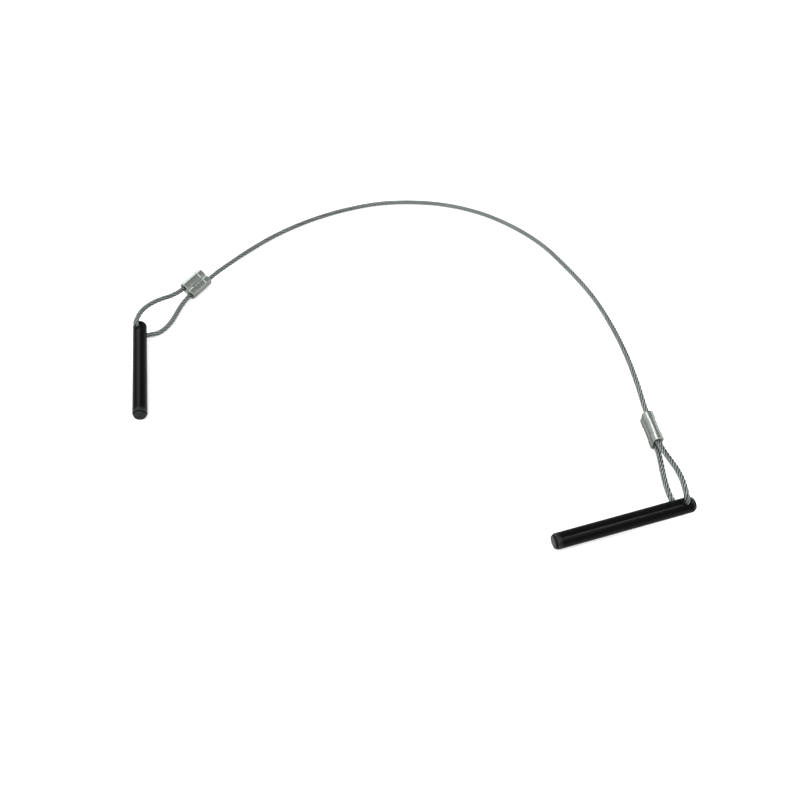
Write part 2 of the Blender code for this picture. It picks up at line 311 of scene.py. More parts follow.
def frame_matrix(place, x_way, z_way):
    """Frame with its origin at place, X along x_way and Z along z_way."""
    x_way = Vector(x_way).normalized()
    z_way = Vector(z_way).normalized()
    y_way = z_way.cross(x_way).normalized()
    z_way = x_way.cross(y_way)
    return Matrix.Translation(place) @ Matrix((x_way, y_way, z_way)).transposed().to_4x4()


def ferrule_matrix(placing):
    """Frame of a ferrule: X runs to the free rope and -Y is the barrel that the free rope leaves by."""
    place, (turn, rise, roll) = placing
    angles = Euler((math.radians(roll), math.radians(-rise), math.radians(turn)))
    return Matrix.Translation(place) @ angles.to_matrix().to_4x4()


def pin_matrix(side):
    """Frame of a pin: its origin is in the cross-hole, X runs to the tip and Z along the hole."""
    joint = next(j for j in frame["joints"] if j["child"] == side + "_pin")
    tip = next(m for m in frame["record"]["mounts"] if m["name"] == side + "_pin_tip")
    return frame_matrix(joint["pos_m"], tip["axis"], joint["axis"])


def carried(matrix, points):
    """Points of a piece's own frame, moved to the world by its matrix."""
    rows = np.array(matrix)
    return np.asarray(points) @ rows[:3, :3].T + rows[:3, 3]


def unit_rows(vectors):
    """Each row divided by its length."""
    return vectors / np.linalg.norm(vectors, axis=-1, keepdims=True)


def grid_faces(rows, columns, first, closed):
    """Quads between neighbours of a grid stored row by row; closed joins the last column to the first."""
    i = np.arange(rows - 1)[:, None]
    j = np.arange(columns if closed else columns - 1)[None, :]
    k = (j + 1) % columns
    row, following = i * columns, (i + 1) * columns
    quads = np.stack([row + j, row + k, following + k, following + j], axis=-1)
    return first + quads.reshape(-1, 4)


def joined_grids(grids):
    """Points and face groups of several grids, each given with its closing and its capped rows.

    A grid is an array of rows of points. A cap is one face over a whole row, and on the first row it
    faces the other way.
    """
    points, groups, first = [], [], 0
    for grid, closed, capped in grids:
        rows, columns = grid.shape[:2]
        points.append(grid.reshape(-1, 3))
        groups.append(grid_faces(rows, columns, first, closed))
        for row in capped:
            ring = first + row * columns + np.arange(columns)[None, :]
            groups.append(ring[:, ::-1] if row == 0 else ring)
        first += rows * columns
    return np.vstack(points), groups


def make_piece(name, points, face_groups, material, sharp_degrees=SHARP, weld=0.0):
    """One mesh object at the origin, from points and groups of faces with equal counts of corners."""
    corners = np.concatenate([group.ravel() for group in face_groups]).astype(np.int32)
    counts = np.concatenate([np.full(len(group), group.shape[1]) for group in face_groups])
    starts = np.concatenate([[0], np.cumsum(counts)[:-1]]).astype(np.int32)
    mesh = bpy.data.meshes.new(name)
    mesh.vertices.add(len(points))
    mesh.vertices.foreach_set("co", np.asarray(points, np.float32).ravel())
    mesh.loops.add(len(corners))
    mesh.loops.foreach_set("vertex_index", corners)
    mesh.polygons.add(len(starts))
    mesh.polygons.foreach_set("loop_start", starts)
    mesh.update(calc_edges=True)
    shape = bmesh.new()
    shape.from_mesh(mesh)
    if weld > 0.0:
        bmesh.ops.remove_doubles(shape, verts=shape.verts, dist=weld)
    bmesh.ops.recalc_face_normals(shape, faces=shape.faces)
    shape.to_mesh(mesh)
    shape.free()
    if mesh.validate():
        raise RuntimeError(name + " has faces that its mesh can't hold")
    mesh.shade_smooth()
    mesh.set_sharp_from_angle(angle=math.radians(sharp_degrees))
    piece = bpy.data.objects.new(name, mesh)
    bpy.context.scene.collection.objects.link(piece)
    mesh.materials.append(material)
    return piece


def own_points(piece, matrix):
    """The piece's points in its own frame."""
    points = np.empty(3 * len(piece.data.vertices), np.float32)
    piece.data.vertices.foreach_get("co", points)
    return carried(matrix.inverted(), points.reshape(-1, 3).astype(float))


def store_values(piece, name, values):
    """Keep one number for each point under an attribute's name."""
    attribute = piece.data.attributes.new(name, "FLOAT", "POINT")
    attribute.data.foreach_set("value", np.asarray(values, np.float32))


def store_vectors(piece, name, vectors):
    """Keep one vector for each point under an attribute's name."""
    attribute = piece.data.attributes.new(name, "FLOAT_VECTOR", "POINT")
    attribute.data.foreach_set("vector", np.asarray(vectors, np.float32).ravel())


def smooth_leg(start, leg, end, start_way, end_way):
    """Dense points of a cubic curve through a leg, with given directions at its two ends.

    Each span is a Hermite cubic. The slope at an inner point is the mean of the slopes of its two
    spans, each weighted by the other's length.
    """
    points = np.array([start, *leg, end])
    spans = np.linalg.norm(np.diff(points, axis=0), axis=1)
    slopes = np.diff(points, axis=0) / spans[:, None]
    shares = (spans[:-1] / (spans[:-1] + spans[1:]))[:, None]
    inner = slopes[:-1] * (1.0 - shares) + slopes[1:] * shares
    ways = np.vstack([start_way, inner, end_way])
    t = np.linspace(0.0, 1.0, SPAN_POINTS, endpoint=False)[None, :, None]
    span = spans[:, None, None]
    dense = (
        (1 + 2 * t) * (1 - t) ** 2 * points[:-1, None]
        + t * (1 - t) ** 2 * span * ways[:-1, None]
        + t * t * (3 - 2 * t) * points[1:, None]
        - t * t * (1 - t) * span * ways[1:, None]
    )
    return np.vstack([dense.reshape(-1, 3), points[-1:]])


def distances_along(line):
    """Distance of each point from the start of its line, measured along the line."""
    return np.concatenate([[0.0], np.cumsum(np.linalg.norm(np.diff(line, axis=0), axis=1))])


def even_points(points, spacing):
    """Points the same distance apart along a line, nearest to the spacing asked for."""
    steps = np.linalg.norm(np.diff(points, axis=0), axis=1)
    points = points[np.concatenate([[True], steps > SHORTEST_STEP])]
    run = distances_along(points)
    marks = np.linspace(0.0, run[-1], int(round(run[-1] / spacing)) + 1)
    return np.column_stack([np.interp(marks, run, points[:, axis]) for axis in range(3)])


def eased_points(points, reach):
    """Each point replaced by the mean of its neighbours within reach, on bell weights.

    Past each end the line goes on as its own half turn about that end, so the ends stay.
    """
    offsets = np.arange(-reach, reach + 1)
    weights = np.exp(-2.0 * (offsets / reach) ** 2)
    weights /= weights.sum()
    lead = 2.0 * points[0] - points[reach:0:-1]
    tail = 2.0 * points[-1] - points[-2 : -reach - 2 : -1]
    padded = np.vstack([lead, points, tail])
    return np.column_stack([np.convolve(padded[:, axis], weights, "valid") for axis in range(3)])


def eye_route(ferrule, pin, entry_side, dead_leg, live_leg):
    """Centre line of one eye: cut end, dead barrel, through the pin's hole and the live barrel's outlet."""
    ferrules = bpy.context.scene.lanyard_ferrule
    pins = bpy.context.scene.lanyard_pin
    end = 0.5 * ferrules.length
    half = 0.5 * ferrules.bore_spacing
    reach = entry_side * (0.5 * pins.diameter + HOLE_LEAD)
    bores = [(end - CUT_END_SETBACK, half, 0), (-end, half, 0), (-end, -half, 0), (end, -half, 0)]
    cut_end, dead_mouth, live_mouth, outlet = carried(ferrule, bores)
    entry, leaving = carried(pin, [(0, 0, reach), (0, 0, -reach)])
    out = unit_rows(dead_mouth - cut_end)
    through = unit_rows(leaving - entry)
    dead = smooth_leg(dead_mouth, dead_leg, entry, out, through)
    live = smooth_leg(leaving, live_leg, live_mouth, through, -out)
    return np.vstack([cut_end, dead, live, outlet])


def rope_route(spacing):
    """Centre line of the whole rope, from the cut end in the left ferrule to the one in the right."""
    left = ferrule_matrix(LEFT_FERRULE)
    right = ferrule_matrix(RIGHT_FERRULE)
    start = eye_route(left, pin_matrix("left"), LEFT_ENTRY_SIDE, LEFT_DEAD_LEG, LEFT_LIVE_LEG)
    finish = eye_route(right, pin_matrix("right"), RIGHT_ENTRY_SIDE, RIGHT_DEAD_LEG, RIGHT_LIVE_LEG)[::-1]
    leaves = unit_rows(start[-1] - start[-2])
    arrives = unit_rows(finish[1] - finish[0])
    free = smooth_leg(start[-1], FREE_ARC, finish[0], leaves, arrives)
    fine = even_points(np.vstack([start, free, finish]), SMOOTHING_STEP)
    return even_points(eased_points(fine, SMOOTHING_REACH), spacing)


def untwisted_frame(line):
    """Tangent, normal and side of a line, with a normal that doesn't turn about the line.

    A first normal is square to the tangent and a fixed slanted direction. Its turn about the tangent
    from each point to the next is summed, and every normal is turned back by that sum.
    """
    tangent = unit_rows(np.gradient(line, axis=0))
    normal = unit_rows(np.cross(tangent, unit_rows(SLANTED_WAY)))
    side = np.cross(tangent, normal)
    moved = normal[:-1] - tangent[1:] * np.sum(normal[:-1] * tangent[1:], axis=1, keepdims=True)
    turn = np.arctan2(np.sum(moved * side[1:], axis=1), np.sum(moved * normal[1:], axis=1))
    back = np.concatenate([[0.0], np.cumsum(turn)])[:, None]
    steady = normal * np.cos(back) + side * np.sin(back)
    return tangent, steady, np.cross(tangent, steady)


def strand_sizes(radius, lay, count):
    """Helix radius and strand radius that just fill the rope's radius, allowing for the strands' slant.

    The slant is taken at two thirds of the radius, where strands round a core of their own size lie.
    """
    helix = 2.0 * radius / 3.0
    slant = math.cos(math.atan2(2 * math.pi * helix, lay))
    helix = radius / (1.0 + math.sin(math.pi / count) * slant)
    return helix, radius - helix


def strand_rings(line, rope):
    """Rings of points of every outer strand: an array of strands, places along the rope, points and axes.

    A strand's middle winds round the rope's line on a right-hand helix. Its section is the outline
    of a ring of round wires, a third of its own radius each, which turns the other way along it.
    """
    tangent, normal, side = untwisted_frame(line)
    run = distances_along(line)
    helix, strand = strand_sizes(0.5 * rope.diameter, rope.lay, rope.strands)
    phase = 2 * np.pi * (run[None, :] / rope.lay + np.arange(rope.strands)[:, None] / rope.strands)
    outward = normal * np.cos(phase)[..., None] + side * np.sin(phase)[..., None]
    middle = line + helix * outward
    way = unit_rows(np.gradient(middle, axis=1))
    across = unit_rows(np.cross(way, outward))
    outward = np.cross(across, way)
    angle = (np.arange(rope.wires)[:, None] + WIRE_SHARES).ravel() * 2 * np.pi / rope.wires
    off = np.tile(WIRE_SHARES, rope.wires) * 2 * np.pi / rope.wires
    wire = strand / 3.0
    reach = 2 * wire * np.cos(off) + np.sqrt(np.maximum(wire**2 - (2 * wire * np.sin(off)) ** 2, 0.0))
    reach = np.maximum(reach, LEAST_STRAND_REACH * wire)
    turned = angle[None, :] - 2 * np.pi * run[:, None] / rope.wire_lay
    across_part = (reach * np.sin(turned))[None, :, :, None] * across[:, :, None, :]
    outward_part = (reach * np.cos(turned))[None, :, :, None] * outward[:, :, None, :]
    return middle[:, :, None, :] + across_part + outward_part


def tube_rings(line, radius, sides):
    """Plain round rings of points along a line."""
    tangent, normal, side = untwisted_frame(line)
    angle = 2 * np.pi * np.arange(sides) / sides
    around = np.cos(angle)[:, None] * normal[:, None] + np.sin(angle)[:, None] * side[:, None]
    return line[:, None] + radius * around


def sleeve_outline(wide, high, groove, rounding, groove_width):
    """Outline of the ferrule's section over arrays of stations: flat faces, rounded sides and two grooves.

    From the +Y side round to the -Y side and back. A side is half an oval as deep as the rounding and
    as high as the section. A face is lowered across the groove's width by its depth times a squared
    cosine.
    """
    wide, high, groove = wide[:, None], high[:, None], groove[:, None]
    turn = np.linspace(0.5 * np.pi, -0.5 * np.pi, SIDE_POINTS)[None, :]
    side_y = wide - rounding + rounding * np.cos(turn)
    side_z = high * np.sin(turn)
    across = np.linspace(1.0, -1.0, GROOVE_POINTS)[None, :]
    face_z = groove * np.cos(0.5 * np.pi * across) ** 2 - high
    face_y = np.broadcast_to(0.5 * groove_width * across, face_z.shape)
    y = np.hstack([side_y, face_y, -side_y, -face_y])
    z = np.hstack([side_z, face_z, -side_z, -face_z])
    return y, z


def ferrule_stations(sizes):
    """Places along a ferrule with its half width, half height and groove depth there.

    The height eases from collar to pressed middle over the ramp. Both round off at the ends.
    """
    end = 0.5 * sizes.length
    edge = sizes.edge
    round_off = end - edge * (1.0 - np.sin(np.linspace(0.5 * np.pi, 0.0, EDGE_ROWS)))
    flat = np.linspace(end - edge, end - sizes.collar, COLLAR_ROWS)[1:]
    ramp = np.linspace(end - sizes.collar, end - sizes.collar - sizes.ramp, RAMP_ROWS)[1:]
    middle = np.linspace(ramp[-1], 0.0, MIDDLE_ROWS)[1:]
    x = np.concatenate([round_off, flat, ramp, middle])
    x = np.concatenate([x, -x[-2::-1]])
    depth = np.clip((end - sizes.collar - np.abs(x)) / sizes.ramp, 0.0, 1.0)
    depth = depth * depth * (3.0 - 2.0 * depth)
    into_edge = np.clip((np.abs(x) - (end - edge)) / edge, 0.0, 1.0)
    cut_back = edge * (1.0 - np.sqrt(1.0 - into_edge**2))
    wide = 0.5 * sizes.bore_spacing + sizes.barrel - cut_back
    high = sizes.barrel + (sizes.pressed - sizes.barrel) * depth - cut_back
    groove = sizes.collar_groove + (sizes.pressed_groove - sizes.collar_groove) * depth
    return x, wide, high, groove


def ferrule_surface(sizes):
    """Points and faces of a ferrule in its own frame: outer skin, end faces and two bores.

    Each bore's grid starts on the half outline of one end face, runs in over its rounded mouth and
    through the bore, and ends on the half outline of the other end face.
    """
    half = 0.5 * sizes.bore_spacing
    x, wide, high, groove = ferrule_stations(sizes)
    y, z = sleeve_outline(wide, high, groove, sizes.rounding, sizes.groove_width)
    skin = np.stack([np.broadcast_to(x[:, None], y.shape), y, z], axis=-1)
    grids = [(skin, True, ())]
    swing = np.linspace(0.0, 0.5 * np.pi, MOUTH_ROWS)
    mouth_x = 0.5 * sizes.length - MOUTH_ROUNDING * (1.0 - np.cos(swing))
    mouth_radius = sizes.bore + MOUTH_ROUNDING * (1.0 - np.sin(swing))
    tube_x = np.concatenate([x[:1], mouth_x, -mouth_x[::-1], x[-1:]])
    tube_radius = np.concatenate([mouth_radius, mouth_radius[::-1]])[:, None, None]
    for barrel in (1, -1):
        rim = np.column_stack([y[0], z[0]])
        rim = rim[barrel * rim[:, 0] > -WELD]
        rim = rim[np.argsort(np.arctan2(rim[:, 1], barrel * (rim[:, 0] - barrel * half)))]
        rim = np.vstack([rim, np.linspace(rim[-1], rim[0], WALL_POINTS)[1:-1]])
        middle = np.array([barrel * half, 0.0])
        tube = np.concatenate([rim[None], middle + tube_radius * unit_rows(rim - middle), rim[None]])
        grid = np.dstack([np.broadcast_to(tube_x[:, None], tube.shape[:2]), tube])
        grids.append((grid, True, ()))
    return joined_grids(grids)


def rounded_profile(corners, radius, steps):
    """A turned profile with each inner corner replaced by a short parabola from side to side."""
    corners = np.array(corners)
    before = unit_rows(corners[:-2] - corners[1:-1])
    after = unit_rows(corners[2:] - corners[1:-1])
    t = np.linspace(0.0, 1.0, steps)[None, :, None]
    start = (corners[1:-1] + radius * before)[:, None]
    end = (corners[1:-1] + radius * after)[:, None]
    bends = (1 - t) ** 2 * start + 2 * t * (1 - t) * corners[1:-1, None] + t * t * end
    return np.vstack([corners[:1], bends.reshape(-1, 2), corners[-1:]])


def turned_end(sizes, end, way, around):
    """Grid of one turned end of a pin, from the cross-hole's patch to the flat middle of the end face.

    A profile of shank, chamfer and face, with softened corners, is turned about X through the angles.
    """
    radius = 0.5 * sizes.diameter
    face = radius - sizes.chamfer_depth
    shoulder = end - way * sizes.chamfer_length
    chamfer_middle = (0.5 * (shoulder + end), 0.5 * (radius + face))
    patch_edge = (way * PATCH_HALF_LENGTH, radius)
    corners = [patch_edge, (shoulder, radius), chamfer_middle, (end, face), (end, END_CAP_RADIUS)]
    profile = rounded_profile(corners, EDGE_SOFTENING, BEND_POINTS)
    long = np.linspace(patch_edge, profile[1], 2 + int(abs(shoulder) / SHANK_STEP))
    profile = np.vstack([long[:-1], profile[1:]])
    x = np.broadcast_to(profile[:, :1], (len(profile), len(around)))
    return np.stack([x, profile[:, 1:] * np.sin(around), profile[:, 1:] * np.cos(around)], axis=-1)


def patch_outline(along, across):
    """Outline of the square patch round a cross-hole, walked round from one corner."""
    sides = (
        np.broadcast_arrays(along[:-1], across[0]),
        np.broadcast_arrays(along[-1], across[:-1]),
        np.broadcast_arrays(along[:0:-1], across[-1]),
        np.broadcast_arrays(along[0], across[:0:-1]),
    )
    return np.concatenate([np.column_stack(side) for side in sides])


def cross_hole(sizes, outline):
    """Grid of a pin's cross-hole: from the patch's edge to the hole's lip, down the bore and out again.

    Rings close in from the patch to a circle and over the rounded lip. Each is lifted onto the shank.
    """
    radius = 0.5 * sizes.diameter
    way = unit_rows(outline)
    share = np.linspace(1.0, 0.0, PATCH_RINGS)[:, None, None]
    inward = (sizes.hole + sizes.lip) * way * (1.0 - share) + outline * share
    swing = np.linspace(0.0, 0.5 * np.pi, LIP_RINGS)[1:, None]
    over_lip = (sizes.hole + sizes.lip * (1.0 - np.sin(swing)))[..., None] * way
    drop = np.vstack([np.zeros((PATCH_RINGS, 1)), sizes.lip * (1.0 - np.cos(swing))])
    rings = np.concatenate([inward, over_lip])
    height = np.sqrt(radius**2 - rings[..., 1] ** 2) - drop
    top = np.concatenate([rings, height[..., None]], axis=-1)
    lip = top[-1]
    bore_z = np.linspace(BORE_RING_SHARE, -BORE_RING_SHARE, BORE_RINGS)[:, None] * lip[:, 2]
    bore = np.stack(np.broadcast_arrays(lip[:, 0], lip[:, 1], bore_z), axis=-1)
    bottom = top[::-1] * np.array([1.0, 1.0, -1.0])
    return np.concatenate([top, bore, bottom])


def pin_surface(sizes):
    """Points and faces of a pin in its own frame: turned shank and ends, and a cross-hole with a soft lip.

    Angles run about X from the hole's axis. Those over the hole belong to two square patches, and
    plain strips of the shank lie between them.
    """
    radius = 0.5 * sizes.diameter
    spread = math.asin(PATCH_HALF_WIDTH / radius)
    over = np.linspace(-spread, spread, PIN_STEPS + 1)
    beside = np.linspace(spread, np.pi - spread, PIN_STEPS + 1)
    around = np.concatenate([over[:-1], beside[:-1], np.pi + over[:-1], np.pi + beside[:-1]])
    grids = []
    for end, way in ((-sizes.setback, -1.0), (sizes.length - sizes.setback, 1.0)):
        turned = turned_end(sizes, end, way, around)
        grids.append((turned, True, (len(turned) - 1,)))
    along = np.linspace(-PATCH_HALF_LENGTH, PATCH_HALF_LENGTH, PIN_STEPS + 1)
    for half_turn in (0.0, np.pi):
        x, turn = np.meshgrid(along, half_turn + beside, indexing="ij")
        grids.append((np.stack([x, radius * np.sin(turn), radius * np.cos(turn)], axis=-1), False, ()))
    grids.append((cross_hole(sizes, patch_outline(along, radius * np.sin(over))), True, ()))
    return joined_grids(grids)


def pin_wear(own, sizes):
    """Where a pin wears: bell curves about its turned edges, and a fixed share over both end faces."""
    radius = 0.5 * sizes.diameter
    off_axis = np.hypot(own[:, 1], own[:, 2])
    wear = np.zeros(len(own))
    for end, way in ((-sizes.setback, -1.0), (sizes.length - sizes.setback, 1.0)):
        for x, r in ((end - way * sizes.chamfer_length, radius), (end, radius - sizes.chamfer_depth)):
            gap = np.hypot(own[:, 0] - x, off_axis - r)
            wear = np.maximum(wear, np.exp(-((gap / PIN_WEAR_REACH) ** 2)))
        wear = np.maximum(wear, END_FACE_WEAR * (np.abs(own[:, 0] - end) < END_FACE_BAND))
    return wear


def new_group(name, inputs, outputs):
    """An empty shader node group with the given named sockets, and its two end nodes."""
    group = bpy.data.node_groups.new(name, "ShaderNodeTree")
    for label, kind, default in inputs:
        socket = group.interface.new_socket(name=label, in_out="INPUT", socket_type=kind)
        if default is not None:
            socket.default_value = default
    for label, kind in outputs:
        group.interface.new_socket(name=label, in_out="OUTPUT", socket_type=kind)
    start = group.nodes.new("NodeGroupInput")
    end = group.nodes.new("NodeGroupOutput")
    return group, start, end


def link(tree, source, target):
    """Join two sockets."""
    tree.links.new(source, target)


def fill(tree, socket, value):
    """Give a socket its value, which is another socket or a plain value."""
    if isinstance(value, bpy.types.NodeSocket):
        link(tree, value, socket)
    else:
        socket.default_value = value


def math_node(tree, operation, *values, clamp=False):
    """A Math node whose inputs are sockets or numbers; gives its output socket."""
    node = tree.nodes.new("ShaderNodeMath")
    node.operation = operation
    node.use_clamp = clamp
    for socket, value in zip(node.inputs, values):
        fill(tree, socket, value)
    return node.outputs[0]


def metal_grain_group():
    """Shared effect: fine drawn or turned lines and soft blotches over a metal surface.

    Lines come from noise on a stretched place, blotches from broad noise. Grain is their mix for
    colour and roughness, and Height is the lines alone for bump.
    """
    found = bpy.data.node_groups.get("metal grain")
    if found:
        return found
    group, start, end = new_group(
        "metal grain",
        [
            ("Place", "NodeSocketVector", None),
            ("Stretch", "NodeSocketVector", (1.0, 1.0, 1.0)),
            ("Line Scale", "NodeSocketFloat", 1.0),
            ("Blotch Scale", "NodeSocketFloat", 0.2),
            ("Blotch Share", "NodeSocketFloat", 0.5),
        ],
        [("Grain", "NodeSocketFloat"), ("Height", "NodeSocketFloat")],
    )
    stretch = group.nodes.new("ShaderNodeVectorMath")
    stretch.operation = "MULTIPLY"
    link(group, start.outputs["Place"], stretch.inputs[0])
    link(group, start.outputs["Stretch"], stretch.inputs[1])
    lines = group.nodes.new("ShaderNodeTexNoise")
    lines.inputs["Detail"].default_value = 3.0
    link(group, stretch.outputs[0], lines.inputs["Vector"])
    link(group, start.outputs["Line Scale"], lines.inputs["Scale"])
    blotches = group.nodes.new("ShaderNodeTexNoise")
    blotches.inputs["Detail"].default_value = 4.0
    blotches.inputs["Roughness"].default_value = 0.6
    link(group, start.outputs["Place"], blotches.inputs["Vector"])
    link(group, start.outputs["Blotch Scale"], blotches.inputs["Scale"])
    blend = group.nodes.new("ShaderNodeMix")
    blend.data_type = "FLOAT"
    link(group, start.outputs["Blotch Share"], blend.inputs["Factor"])
    link(group, lines.outputs["Fac"], blend.inputs["A"])
    link(group, blotches.outputs["Fac"], blend.inputs["B"])
    link(group, blend.outputs["Result"], end.inputs["Grain"])
    link(group, lines.outputs["Fac"], end.inputs["Height"])
    return group


def worn_edge_group():
    """Shared effect: a mask of worn edges, broken up by noise.

    Mask is the stored edge value times noise, raised in contrast and clamped.
    """
    found = bpy.data.node_groups.get("worn edge")
    if found:
        return found
    group, start, end = new_group(
        "worn edge",
        [
            ("Place", "NodeSocketVector", None),
            ("Edge", "NodeSocketFloat", 0.0),
            ("Scale", "NodeSocketFloat", 1.0),
            ("Amount", "NodeSocketFloat", 1.0),
        ],
        [("Mask", "NodeSocketFloat")],
    )
    noise = group.nodes.new("ShaderNodeTexNoise")
    noise.inputs["Detail"].default_value = 5.0
    link(group, start.outputs["Place"], noise.inputs["Vector"])
    link(group, start.outputs["Scale"], noise.inputs["Scale"])
    broken = math_node(group, "MULTIPLY_ADD", noise.outputs["Fac"], WEAR_SLOPE, WEAR_SHIFT)
    worn = math_node(group, "MULTIPLY", broken, start.outputs["Edge"])
    mask = math_node(group, "MULTIPLY", worn, start.outputs["Amount"], clamp=True)
    link(group, mask, end.inputs["Mask"])
    return group


class Finish:
    """A material under way: its node tree, Principled shader and the stored values it reads."""

    def __init__(self, name):
        self.material = bpy.data.materials.new(name)
        self.material.use_nodes = True
        self.tree = self.material.node_tree
        self.shader = self.tree.nodes["Principled BSDF"]

    def stored(self, name, output):
        """A socket that reads one of the piece's stored values."""
        node = self.tree.nodes.new("ShaderNodeAttribute")
        node.attribute_name = name
        return node.outputs[output]

    def group(self, group, values, links):
        """A shared effect with its own values and links."""
        node = self.tree.nodes.new("ShaderNodeGroup")
        node.node_tree = group
        for label, value in values.items():
            node.inputs[label].default_value = value
        for label, socket in links.items():
            link(self.tree, socket, node.inputs[label])
        return node

    def mixed(self, factor, low, high):
        """A colour between two, either of which may be a socket."""
        node = self.tree.nodes.new("ShaderNodeMix")
        node.data_type = "RGBA"
        link(self.tree, factor, node.inputs["Factor"])
        for place, value in ((MIX_LOW, low), (MIX_HIGH, high)):
            plain = not isinstance(value, bpy.types.NodeSocket)
            fill(self.tree, node.inputs[place], (*value, 1.0) if plain else value)
        return node.outputs[MIX_RESULT]

    def ranged(self, value, result, source=(0.0, 1.0)):
        """A value moved from its source range to the result's range, held at its ends."""
        node = self.tree.nodes.new("ShaderNodeMapRange")
        link(self.tree, value, node.inputs["Value"])
        node.inputs["From Min"].default_value, node.inputs["From Max"].default_value = source
        node.inputs["To Min"].default_value, node.inputs["To Max"].default_value = result
        return node.outputs["Result"]

    def feed(self, label, socket):
        """Drive one of the shader's inputs."""
        link(self.tree, socket, self.shader.inputs[label])

    def bump(self, height, strength, distance):
        """Small relief on the shader's normal."""
        node = self.tree.nodes.new("ShaderNodeBump")
        node.inputs["Strength"].default_value = strength
        node.inputs["Distance"].default_value = distance
        link(self.tree, height, node.inputs["Height"])
        self.feed("Normal", node.outputs["Normal"])


def rope_finish(rope):
    """Drawn steel wire: its colour on the strands' crowns, with painted shade deep between them."""
    finish = Finish("drawn steel wire")
    crown = finish.stored("crown", "Fac")
    grain = finish.group(
        metal_grain_group(),
        {"Stretch": (0.6, 4.0, 4.0), "Line Scale": 1.2, "Blotch Scale": 0.09, "Blotch Share": 0.6},
        {"Place": finish.stored("own_place", "Vector")},
    )
    # Painted shade: the colour runs from the groove's dark shade on the strands' inner sides to the wires'
    # colour on their crowns.
    depth = finish.ranged(crown, (0.0, 1.0), ROPE_CROWN_RANGE)
    tone = finish.ranged(grain.outputs["Grain"], ROPE_TONE, GRAIN_RANGE)
    lit = finish.tree.nodes.new("ShaderNodeVectorMath")
    lit.operation = "SCALE"
    link(finish.tree, finish.mixed(depth, rope.groove, rope.colour), lit.inputs[0])
    link(finish.tree, tone, lit.inputs["Scale"])
    finish.feed("Base Color", lit.outputs[0])
    finish.feed("Roughness", finish.ranged(grain.outputs["Grain"], ROPE_ROUGHNESS, GRAIN_RANGE))
    finish.shader.inputs["Metallic"].default_value = 1.0
    finish.shader.inputs["Specular Tint"].default_value = ROPE_GLANCE
    finish.bump(grain.outputs["Height"], strength=0.25, distance=ROPE_RELIEF)
    return finish.material


def ferrule_finish(sizes):
    """Pressed soft aluminium: satin, faintly drawn along its length, with scuffs scattered over it."""
    finish = Finish("pressed aluminium")
    place = finish.stored("own_place", "Vector")
    grain = finish.group(
        metal_grain_group(),
        {"Stretch": (0.5, 3.0, 3.0), "Line Scale": 0.9, "Blotch Scale": 0.22, "Blotch Share": 0.55},
        {"Place": place},
    )
    edge = finish.stored("edge", "Fac")
    wear = finish.group(worn_edge_group(), {"Scale": 0.8, "Amount": 0.6}, {"Place": place, "Edge": edge})
    scuffs = finish.ranged(grain.outputs["Grain"], SCUFF_STRENGTH, SCUFF_RANGE)
    satin = finish.mixed(scuffs, sizes.colour, sizes.scuff)
    bright = [min(1.0, WORN_BRIGHTNESS * value) for value in sizes.colour]
    finish.feed("Base Color", finish.mixed(wear.outputs["Mask"], satin, bright))
    finish.feed("Roughness", finish.ranged(grain.outputs["Grain"], FERRULE_ROUGHNESS, GRAIN_RANGE))
    finish.shader.inputs["Metallic"].default_value = 1.0
    finish.shader.inputs["Specular Tint"].default_value = FERRULE_GLANCE
    finish.bump(grain.outputs["Height"], strength=0.1, distance=FERRULE_RELIEF)
    return finish.material


def pin_finish(sizes):
    """Black satin finish over ground steel: fine turned lines, greyer on worn edges and end faces."""
    finish = Finish("black satin steel")
    place = finish.stored("own_place", "Vector")
    grain = finish.group(
        metal_grain_group(),
        {"Stretch": (5.0, 0.5, 0.5), "Line Scale": 1.0, "Blotch Scale": 0.12, "Blotch Share": 0.5},
        {"Place": place},
    )
    edge = finish.stored("edge", "Fac")
    wear = finish.group(worn_edge_group(), {"Scale": 0.5, "Amount": 0.9}, {"Place": place, "Edge": edge})
    deep = [DEEP_BLACK_SHARE * value for value in sizes.colour]
    depth = finish.ranged(grain.outputs["Grain"], (0.0, 1.0), BLACK_RANGE)
    black = finish.mixed(depth, deep, sizes.colour)
    finish.feed("Base Color", finish.mixed(wear.outputs["Mask"], black, sizes.worn))
    finish.feed("Roughness", finish.ranged(grain.outputs["Grain"], PIN_ROUGHNESS, GRAIN_RANGE))
    finish.shader.inputs["Specular IOR Level"].default_value = 0.06
    finish.bump(grain.outputs["Height"], strength=0.12, distance=PIN_RELIEF)
    return finish.material


def floor_finish(stage):
    """Plain pale matt floor: faintly lit from within to the eye, and dimmer where the metal mirrors it."""
    finish = Finish("pale floor")
    path = finish.tree.nodes.new("ShaderNodeLightPath")
    finish.feed("Base Color", finish.mixed(path.outputs["Is Glossy Ray"], stage.floor, stage.mirrored))
    finish.shader.inputs["Roughness"].default_value = 0.9
    finish.shader.inputs["Specular IOR Level"].default_value = 0.1
    finish.shader.inputs["Emission Color"].default_value = WHITE
    finish.feed("Emission Strength", finish.ranged(path.outputs["Is Camera Ray"], (0.0, stage.glow)))
    return finish.material


def area_light(name, place, aim, size, power):
    """A soft rectangular light aimed at a point."""
    data = bpy.data.lights.new(name, "AREA")
    data.shape = "RECTANGLE"
    data.size, data.size_y = size
    data.energy = power
    lamp = bpy.data.objects.new(name, data)
    bpy.context.scene.collection.objects.link(lamp)
    lamp.location = place
    lamp.rotation_euler = (Vector(aim) - Vector(place)).to_track_quat("-Z", "Y").to_euler()


